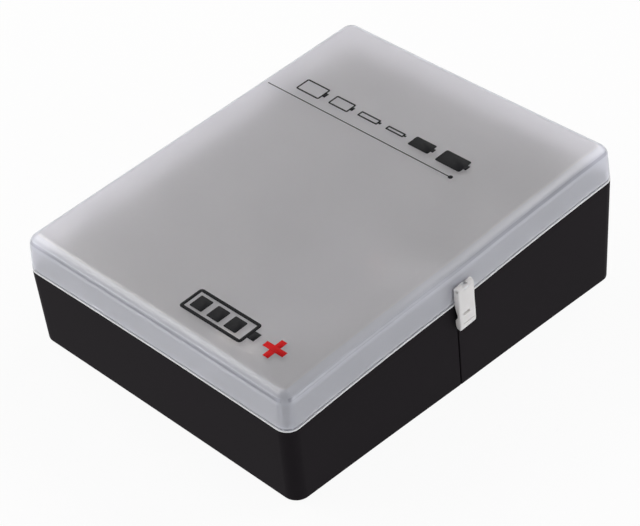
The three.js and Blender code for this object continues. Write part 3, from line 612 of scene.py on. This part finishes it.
badge_x = 6 * mm
badge_y = -81 * mm
badge_length = 38 * mm
badge_thickness = 13 * mm
badge_line = 1.6 * mm
ink_battery((badge_x, badge_y), badge_length, badge_thickness, badge_line)
bar_margin = 3.2 * mm
bar_pitch = 9.6 * mm
bar_length = 6.8 * mm
bar_half_height = 3.6 * mm
bar_corner = 0.6 * mm
bar_y = (badge_y - bar_half_height, badge_y + bar_half_height)
for bar_number in range(3):
    bar_x = badge_x + bar_margin + bar_number * bar_pitch
    ink_patch(black_ink_bm, (bar_x, bar_x + bar_length), bar_y, bar_corner)
badge_to_plus = 47.5 * mm
plus_x = badge_x + badge_to_plus
plus_reach = 5.4 * mm
plus_arm = 1.5 * mm
ink_patch(red_ink_bm, (plus_x - plus_reach, plus_x + plus_reach), (badge_y - plus_arm, badge_y + plus_arm))
for side in (-1, 1):
    ends = sorted((badge_y + side * plus_arm, badge_y + side * plus_reach))
    ink_patch(red_ink_bm, (plus_x - plus_arm, plus_x + plus_arm), ends)


def ink(name, colour):
    """A matt ink that thins a little where the pad lifted."""
    return plastic(name, colour, 0.6, grain=0.05, mottle=0.2, gloss=0.1)


for name, ink_bm, colour, slot in (
    ("lid_print_black", black_ink_bm, (0.006, 0.006, 0.007), "tester_black"),
    ("lid_print_red", red_ink_bm, (0.55, 0.008, 0.01), "needle_red"),
):
    printed = placed_piece(name, ink_bm, rim_place)
    printed.data.materials.append(ink(name + "_ink", colour))
    layer = printed.modifiers.new("ink_thickness", "SOLIDIFY")
    layer.thickness = ink_thickness
    layer.offset = 1
    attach(printed, "lid")

# The clip: a small natural moulding that turns on a steel pin in the lid's lug and reaches under the
# tub's bead. Its front has a sunk thumb mark and a fine line, and the mould rounds the edges there.
clip_side = [
    (-0.2, 8.4), (0.0, 8.95), (0.5, 9.15), (1.9, 8.95), (2.4, 8.6), (2.6, 8.0), (2.65, 4.0), (2.75, -2.0),
    (3.05, -7.0), (3.1, -10.9), (2.95, -12.2), (2.5, -12.9), (1.9, -12.8), (0.95, -11.8), (0.5, -10.6),
    (0.35, -9.2), (0.35, -7.9), (0.6, -7.3), (1.35, -6.3), (1.5, -5.7), (1.5, -4.9), (1.3, -4.2),
    (0.35, -1.2), (0.25, 1.2), (-0.05, 5.0),
]
clip_width = 9.7 * mm
clip_edge_round = 0.8 * mm
front_depth = 1.6 * mm
clip_front = case_width / 2 + front_depth
clip_bm = bmesh.new()
clip_outline = [(case_width / 2 + x * mm, z * mm) for x, z in clip_side]
bar_along_y(clip_bm, clip_outline, (-clip_width / 2, clip_width / 2))
bmesh.ops.recalc_face_normals(clip_bm, faces=clip_bm.faces)
longest_edge = clip_width - clip_edge_round
front_edges = [
    edge for edge in clip_bm.edges
    if all(vert.co.x > clip_front for vert in edge.verts) and edge.calc_length() < longest_edge
]
bmesh.ops.bevel(
    clip_bm, geom=front_edges, offset=clip_edge_round, offset_type="OFFSET", segments=5, profile=0.5,
    affect="EDGES", material=-1,
)

clip_swing = 70
slot_clearance = 0.15 * mm
slot_half_width = lug_width / 2 + slot_clearance
slot_margin = 32
slot_reach = 4 * mm
slot_bm = bmesh.new()
slot_outline = [(pivot_x, pivot_z)]
for degrees in (clip_swing + slot_margin, clip_swing / 2, -slot_margin):
    angle = math.radians(degrees)
    slot_outline.append((pivot_x - slot_reach * math.cos(angle), pivot_z + slot_reach * math.sin(angle)))
bar_along_y(slot_bm, slot_outline, (-slot_half_width, slot_half_width))
bmesh.ops.recalc_face_normals(slot_bm, faces=slot_bm.faces)
clip_bm = carve(clip_bm, slot_bm)


def rod_along_y(radius, middle, length, steps=32):
    """A round bar along Y."""
    bm = bmesh.new()
    turn = Matrix.Translation(middle) @ Matrix.Rotation(math.pi / 2, 4, "X")
    bmesh.ops.create_cone(
        bm, cap_ends=True, segments=steps, radius1=radius, radius2=radius, depth=length, matrix=turn,
    )
    return bm


lug_clearance = 0.1 * mm
clip_bm = carve(clip_bm, rod_along_y(lug_radius + lug_clearance, pivot_middle, 2 * slot_half_width))
clip_bm = carve(clip_bm, rod_along_y(lug_bore, pivot_middle, 2 * clip_width))
grip_bm = bmesh.new()
thumb_mark = ((2.0 * mm, 4.0 * mm), (-2.8 * mm, 1.2 * mm), (-5.4 * mm, -3.9 * mm))
foot_line = ((2.7 * mm, 4.0 * mm), (-2.8 * mm, 4.0 * mm), (-10.0 * mm, -9.5 * mm))
for out, along, up in (thumb_mark, foot_line):
    block(grip_bm, [case_width / 2 + reach for reach in out], along, up)
bmesh.ops.recalc_face_normals(grip_bm, faces=grip_bm.faces)
clip_bm = carve(clip_bm, grip_bm)
smallest_detail = 0.005 * mm
bmesh.ops.remove_doubles(clip_bm, verts=clip_bm.verts, dist=smallest_detail)
bmesh.ops.dissolve_degenerate(clip_bm, edges=clip_bm.edges, dist=smallest_detail)


def fit(piece, node, body, material):
    """Gives a finished piece its material and its body, and hides the node that it stands for."""
    piece.data.materials.append(material)
    crisp(piece)
    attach(piece, body)
    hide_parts(node)


glow_depth = 1.2 * mm
natural = plastic(
    "natural_clip", (0.92, 0.89, 0.875), 0.4, grain=0.1, mottle=0.03, gloss=0.4, Transmission_Weight=0.2,
    Subsurface_Weight=0.8, Subsurface_Radius=(1, 1, 1), Subsurface_Scale=glow_depth, IOR=1.49,
)
clip = placed_piece("clip", clip_bm, rim_place)
fit(clip, "latch_clip", "latch", natural)

# The pins: three lengths of drawn steel wire, cropped and lightly chamfered. Two are pushed through the
# hinge eyes, and a thinner one through the clip and the lid's lug.
pin_radius = 0.9 * mm
pin_length = lid_knuckle + 2 * (tub_knuckle + knuckle_gap)
pin_chamfer = 0.15 * mm
clip_pin_radius = 0.4 * mm
clip_pin_inset = 0.3 * mm
clip_pin_chamfer = 0.08 * mm
streaks_per_metre = 2500
streak_strength = 0.15
streak_depth = 0.01 * mm
same_point = 0.001 * mm


def steel(name, colour, roughness, stretch=(1, 40, 1), streak=0.25):
    """A drawn or stamped metal with fine streaks along its length."""
    material = bpy.data.materials.new(name)
    material.use_nodes = True
    tree = material.node_tree
    shader = tree.nodes["Principled BSDF"]
    place = tree.nodes.new("ShaderNodeTexCoord")
    along = tree.nodes.new("ShaderNodeMapping")
    along.inputs["Scale"].default_value = [streaks_per_metre / part for part in stretch]
    streaks = tree.nodes.new("ShaderNodeTexNoise")
    streaks.inputs["Scale"].default_value = 1
    streaks.inputs["Detail"].default_value = 4
    shine = tree.nodes.new("ShaderNodeMapRange")
    shine.inputs["To Min"].default_value = roughness * (1 - streak)
    shine.inputs["To Max"].default_value = roughness * (1 + streak)
    bump = tree.nodes.new("ShaderNodeBump")
    bump.inputs["Strength"].default_value = streak_strength
    bump.inputs["Distance"].default_value = streak_depth
    tree.links.new(place.outputs["Object"], along.inputs["Vector"])
    tree.links.new(along.outputs["Vector"], streaks.inputs["Vector"])
    tree.links.new(streaks.outputs["Fac"], shine.inputs["Value"])
    tree.links.new(shine.outputs["Result"], shader.inputs["Roughness"])
    tree.links.new(streaks.outputs["Fac"], bump.inputs["Height"])
    tree.links.new(bump.outputs["Normal"], shader.inputs["Normal"])
    shader.inputs["Base Color"].default_value = (*colour, 1)
    shader.inputs["Metallic"].default_value = 1.0
    return material


def turned(name, profile, place, steps=40):
    """Spins a profile of (radius, height) points, which starts and ends on the axis, about Z."""
    bm = bmesh.new()
    verts = [bm.verts.new((radius, 0, height)) for radius, height in profile]
    edges = [bm.edges.new(pair) for pair in zip(verts, verts[1:])]
    bmesh.ops.spin(
        bm, geom=verts + edges, cent=(0, 0, 0), axis=(0, 0, 1), angle=2 * math.pi, steps=steps,
        use_merge=True,
    )
    bmesh.ops.remove_doubles(bm, verts=bm.verts, dist=same_point)
    bmesh.ops.recalc_face_normals(bm, faces=bm.faces)
    return placed_piece(name, bm, place)


def pin_profile(radius, length, chamfer):
    """Half the outline of a pin with both ends chamfered."""
    half = length / 2
    return [
        (0, -half), (radius - chamfer, -half), (radius, -half + chamfer), (radius, half - chamfer),
        (radius - chamfer, half), (0, half),
    ]


bright_steel = steel("bright_steel", (0.62, 0.61, 0.60), 0.28)
lying_along_y = Matrix.Rotation(math.pi / 2, 4, "X")
for node, hinge_y in (("hinge_pin_front", -hinge_spread), ("hinge_pin_rear", hinge_spread)):
    pin_place = rim_place @ Matrix.Translation((-hinge_out, hinge_y, 0)) @ lying_along_y
    pin = turned(node + "_wire", pin_profile(pin_radius, pin_length, pin_chamfer), pin_place)
    fit(pin, node, "base", bright_steel)
clip_pin_outline = pin_profile(clip_pin_radius, clip_width - 2 * clip_pin_inset, clip_pin_chamfer)
clip_pin_place = rim_place @ Matrix.Translation(pivot_middle) @ lying_along_y
clip_pin = turned("clip_pin_wire", clip_pin_outline, clip_pin_place)
fit(clip_pin, "latch_pin", "lid", bright_steel)

# The trays: three black moulded inserts that stand on the tub's floor and hold the cells upright.
# Their walls are thin and slightly glossy, with every edge broken by the mould.
tray_round = 0.25 * mm
same_corner = 0.002 * mm
flat_angle = 1


def fine_copy(node, edge_round, parts=2, sharp_angle=32):
    """A piece's own shape with its corners merged and its sharp edges rounded."""
    bm = bmesh.new()
    bm.from_mesh(frame["nodes"][node].data)
    bmesh.ops.remove_doubles(bm, verts=bm.verts, dist=same_corner)
    bmesh.ops.dissolve_limit(bm, angle_limit=math.radians(flat_angle), verts=bm.verts, edges=bm.edges)
    limit = math.radians(sharp_angle)
    sharp = [edge for edge in bm.edges if edge.is_manifold and edge.calc_face_angle() > limit]
    bmesh.ops.bevel(
        bm, geom=sharp, offset=edge_round, offset_type="OFFSET", segments=parts, profile=0.5,
        affect="EDGES", clamp_overlap=False, material=-1,
    )
    return bm


black_tray = plastic("black_tray", (0.014, 0.014, 0.015), 0.42, grain=0.08, gloss=0.35)
for node in ("rear_tray", "side_tray", "tester_cradle"):
    tray = placed_piece(node + "_moulding", fine_copy(node, tray_round))
    fit(tray, node, "base", black_tray)

# The tester: a hand meter in two dark grey shells held by four screws, with a card dial behind a clear
# window, two snap contacts for block cells and a spring arm that clamps round cells against the head.
case_round = 0.3 * mm
case_grain = 0.5 * mm
strip_round = 0.08 * mm
tester_grey = plastic("tester_grey", (0.045, 0.047, 0.052), 0.5, grain=0.25, grain_size=case_grain)
for node in ("tester_case_back", "tester_case_top"):
    shell = placed_piece(node + "_shell", fine_copy(node, case_round))
    fit(shell, node, "base", tester_grey)
tester_black = plastic("tester_black", (0.02, 0.02, 0.021), 0.45, grain=0.1)
slide_arm = placed_piece("slide_arm", fine_copy("tester_slide_arm", case_round))
fit(slide_arm, "tester_slide_arm", "arm", tester_black)
nickel = steel("nickel_contact", (0.66, 0.62, 0.55), 0.22, stretch=(12, 1, 1))
for node, body in (("tester_fixed_contact", "base"), ("tester_arm_contact", "arm")):
    contact = placed_piece(node + "_strip", fine_copy(node, strip_round))
    fit(contact, node, body, nickel)

# The snap contacts: a socket and a stud, drawn and rolled from nickel-plated brass, riveted through the
# foot of the case so that a block cell can be pressed onto them.
snap_height = 2.4 * mm
snap_steps = 48
rivet = [(0, -6.0), (0.9, -6.0), (1.2, -5.7), (1.2, 0)]
socket_profile = rivet + [
    (3.9, 0), (4.25, 0.15), (4.4, 0.5), (4.4, 1.9), (4.25, 2.25), (3.9, 2.4), (3.6, 2.35), (3.35, 2.1),
    (3.3, 0.5), (3.1, 0.35), (0, 0.35),
]
stud_profile = rivet + [
    (2.5, 0), (2.6, 0.2), (2.45, 0.8), (2.6, 1.3), (2.85, 1.6), (2.9, 1.9), (2.8, 2.2), (2.5, 2.4),
    (1.0, 2.4), (0.8, 2.2), (0, 2.2),
]


def rim_box(node):
    """The lowest and highest corners of a piece in the rim's own frame."""
    corners = [rim_place.inverted() @ vert.co for vert in frame["nodes"][node].data.vertices]
    return [Vector([pick(corner[axis] for corner in corners) for axis in range(3)]) for pick in (min, max)]


for node, profile in (("tester_block_socket", socket_profile), ("tester_block_stud", stud_profile)):
    low, high = rim_box(node)
    snap_foot = ((low.x + high.x) / 2, (low.y + high.y) / 2, high.z - snap_height)
    snap_place = rim_place @ Matrix.Translation(snap_foot)
    snap_profile = [(radius * mm, height * mm) for radius, height in profile]
    snap = turned(node + "_rolled", snap_profile, snap_place, snap_steps)
    fit(snap, node, "base", nickel)

# The meter: a black card with a printed scale, a red needle on its pivot, and a clear moulded window
# set flush in the head of the case.
dial_black = plastic("dial_black", (0.012, 0.012, 0.013), 0.6, grain=0.05, gloss=0.2)
card = placed_piece("dial_card", fine_copy("tester_dial", strip_round))
fit(card, "tester_dial", "base", dial_black)

pivot_from_edge = 3 * mm
low, high = rim_box("tester_movement")
dial_top = rim_box("tester_dial")[1].z
dial_pivot = Vector(((low.x + high.x) / 2, low.y + pivot_from_edge, dial_top + ink_lift))
needle_swing = 80
arc_step = 3


def arc_patch(bm, inner, outer, start, end):
    """Adds a flat band between two radii and two angles, measured from the top of the scale."""
    turn = Matrix.Rotation(math.radians(start), 4, "Z")
    verts = [bm.verts.new(dial_pivot + turn @ Vector((0, radius, 0))) for radius in (inner, outer)]
    edge = bm.edges.new(verts)
    steps = max(1, round(abs(end - start) / arc_step))
    bmesh.ops.spin(
        bm, geom=verts + [edge], cent=dial_pivot, axis=(0, 0, 1), angle=math.radians(end - start),
        steps=steps, use_merge=False,
    )


scale_inner = 10.4 * mm
scale_outer = 11.5 * mm
half_swing = needle_swing / 2
scale_bands = [
    ("scale_red", (0.6, 0.02, 0.015), half_swing, 16), ("scale_white", (0.7, 0.7, 0.68), 15, -9),
    ("scale_green", (0.03, 0.36, 0.07), -10, -half_swing),
]
printed_scale = {name: bmesh.new() for name, *_ in scale_bands}
for name, colour, start, end in scale_bands:
    arc_patch(printed_scale[name], scale_inner, scale_outer, start, end)
scale_parts = 10
parts_per_long_tick = 5
long_tick = 1.1 * mm
short_tick = 0.6 * mm
half_tick = 0.8
tick_gap = 0.3 * mm
tick_top = scale_inner - tick_gap
for tick in range(scale_parts + 1):
    middle = half_swing - tick * needle_swing / scale_parts
    tick_foot = tick_top - (short_tick if tick % parts_per_long_tick else long_tick)
    arc_patch(printed_scale["scale_white"], tick_foot, tick_top, middle + half_tick, middle - half_tick)
figure_size = 1.9 * mm
figure_radius = 7.6 * mm
for number, share in ((0, 0), (50, 0.5), (100, 1)):
    figure = bpy.data.curves.new("figure", "FONT")
    figure.body = str(number)
    figure.size = figure_size
    figure.align_x = "CENTER"
    figure.align_y = "CENTER"
    shown = bpy.data.objects.new("figure", figure)
    scene.collection.objects.link(shown)
    flat = bpy.data.meshes.new_from_object(shown)
    turn = Matrix.Rotation(math.radians(half_swing - share * needle_swing), 4, "Z")
    spot = dial_pivot + turn @ Vector((0, figure_radius, 0))
    flat.transform(Matrix.Translation(spot) @ turn)
    printed_scale["scale_white"].from_mesh(flat)
    bpy.data.objects.remove(shown)
    bpy.data.curves.remove(figure)
    bpy.data.meshes.remove(flat)
for name, colour, *_ in scale_bands:
    scale_bm = printed_scale[name]
    bmesh.ops.remove_doubles(scale_bm, verts=scale_bm.verts, dist=same_point)
    bmesh.ops.reverse_faces(scale_bm, faces=[face for face in scale_bm.faces if face.normal.z < 0])
    scale = placed_piece(name, scale_bm, rim_place)
    scale.data.materials.append(ink(name + "_ink", colour))
    layer = scale.modifiers.new("ink_thickness", "SOLIDIFY")
    layer.thickness = ink_thickness
    layer.offset = 1
    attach(scale, "base")

needle_red = plastic("needle_red", (0.62, 0.02, 0.015), 0.4, grain=0.03, gloss=0.4)
needle = placed_piece("needle", fine_copy("tester_needle", strip_round))
fit(needle, "tester_needle", "needle", needle_red)
clear = plastic(
    "clear_lens", (0.97, 0.98, 0.98), 0.06, grain=0.02, mottle=0.01, gloss=0.5, Transmission_Weight=1.0,
    IOR=1.49,
)
lens_round = 0.15 * mm
lens = placed_piece("lens", fine_copy("tester_window", lens_round, 3))
fit(lens, "tester_window", "base", clear)

# Inside the tester: the meter's movement, the circuit board with its load resistor, the arm's tension
# spring and the four case screws. They keep their own shapes and get their real surfaces.
board_grain = 1.5 * mm
board_green = plastic(
    "board_green", (0.02, 0.11, 0.04), 0.35, grain=0.1, grain_size=board_grain, mottle=0.35, gloss=0.5,
)
movement_black = plastic("movement_body", (0.03, 0.031, 0.034), 0.5, grain=0.1)
ceramic = plastic("resistor_body", (0.62, 0.56, 0.44), 0.7, grain=0.3, mottle=0.08, gloss=0.2)
own_surfaces = {
    "tester_movement": movement_black, "tester_circuit_board": board_green, "tester_load_resistor": ceramic,
    "tester_arm_spring": bright_steel,
}
own_surfaces.update({f"tester_case_screw_{number}": bright_steel for number in range(1, 5)})
for node, material in own_surfaces.items():
    for material_slot in frame["nodes"][node].material_slots:
        material_slot.material = material
